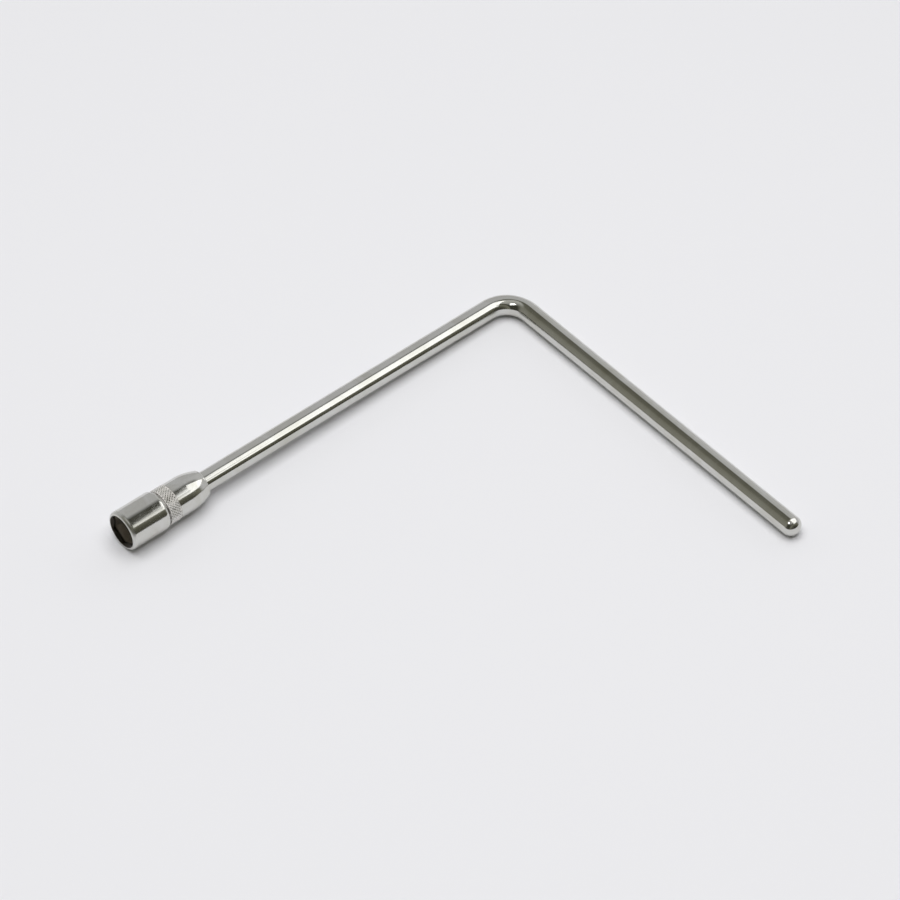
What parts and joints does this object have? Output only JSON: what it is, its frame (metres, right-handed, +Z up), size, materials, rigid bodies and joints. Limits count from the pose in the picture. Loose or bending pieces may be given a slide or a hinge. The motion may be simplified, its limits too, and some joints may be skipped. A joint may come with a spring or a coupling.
{
  "type": "truss rod wrench",
  "caption": "L-shaped plated steel wrench: a bent round rod with a domed free end and a knurled hexagonal socket that turns the nut of a guitar's truss rod.",
  "frame": {"origin": "on the bench, under the middle of the wrench's bounding box as it lies at rest", "axes": "+Z up from the bench; the long arm runs along X with the socket's mouth facing -X, climbing 1.3 degrees towards the mouth because the socket is thicker than the rod; the short arm runs level along -Y"},
  "size_m": [0.1209, 0.1044, 0.0101],
  "materials": {
    "rod_plating": "bright nickel plating on a drawn steel rod",
    "socket_plating": "bright nickel plating on turned steel, with a diamond knurl band"
  },
  "bodies": {
    "root": {"bent_rod": "rod_plating", "socket": "socket_plating"}
  },
  "joints": []
}
